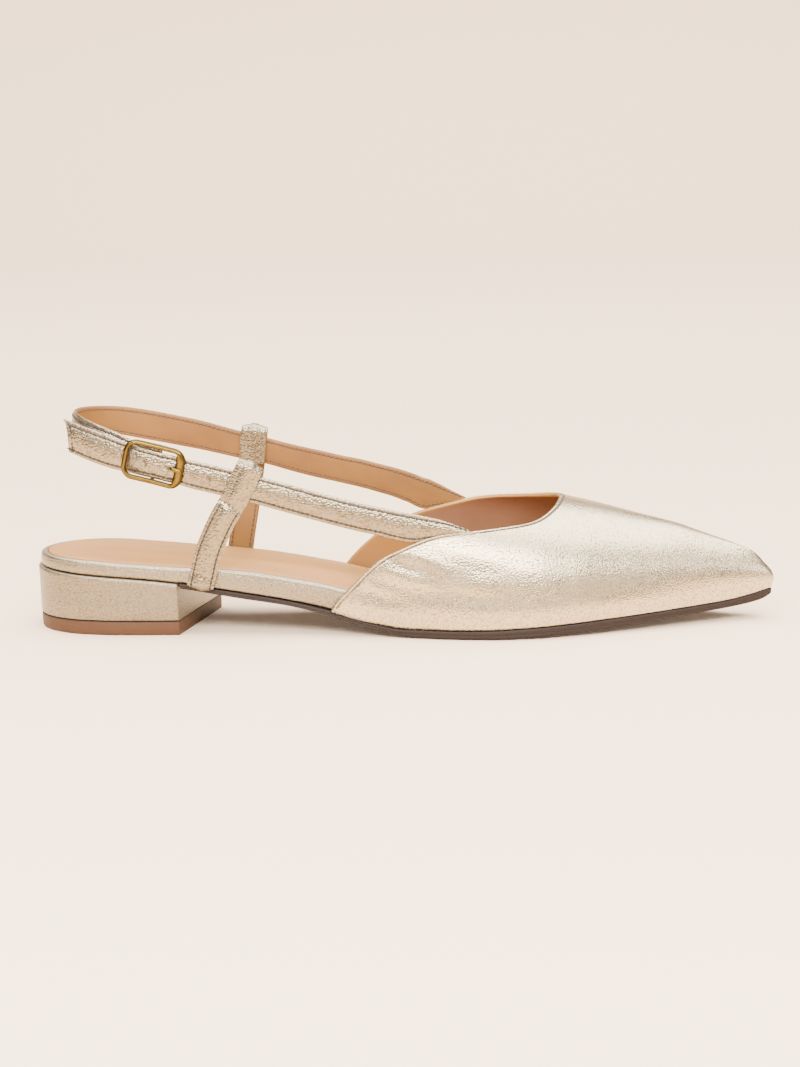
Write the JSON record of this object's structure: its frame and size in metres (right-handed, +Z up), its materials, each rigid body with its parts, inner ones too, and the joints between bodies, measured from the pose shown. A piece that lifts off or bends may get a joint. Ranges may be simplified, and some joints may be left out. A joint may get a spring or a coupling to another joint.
{
  "type": "sling back flat",
  "caption": "Right sling back flat with a pointed toe, low block heel, folded side straps and a buckled heel strap, standing empty",
  "frame": {"origin": "centre of the bounding box in plan, on the floor the shoe stands on", "axes": "+X to the toe, +Y to the inner (medial) side, +Z up"},
  "size_m": [0.2684, 0.0779, 0.0787],
  "materials": {
    "outsole": "dark brown leather board",
    "heel_cover": "pale gold grained leather wrapped over the heel block",
    "top_lift": "brown matte heel top piece",
    "rand": "pale gold leather over the edge of the insole board",
    "sock": "matte tan leather",
    "upper_leather": "pale gold metallic leather with a fine grain, tan lined",
    "strap_leather": "pale gold metallic leather, tan lined, stitched at both edges",
    "buckle": "antique brass, darker in the hollows"
  },
  "bodies": {
    "root": {"outsole": "outsole", "heel_block": "heel_cover", "top_lift": "top_lift", "footbed": "rand", "insole_sock": "sock", "upper": "upper_leather", "sling_strap": "strap_leather", "buckle_strap": "strap_leather", "side_strap_outer": "strap_leather", "side_strap_inner": "strap_leather", "buckle_frame": "buckle", "buckle_prong": "buckle"}
  },
  "joints": []
}
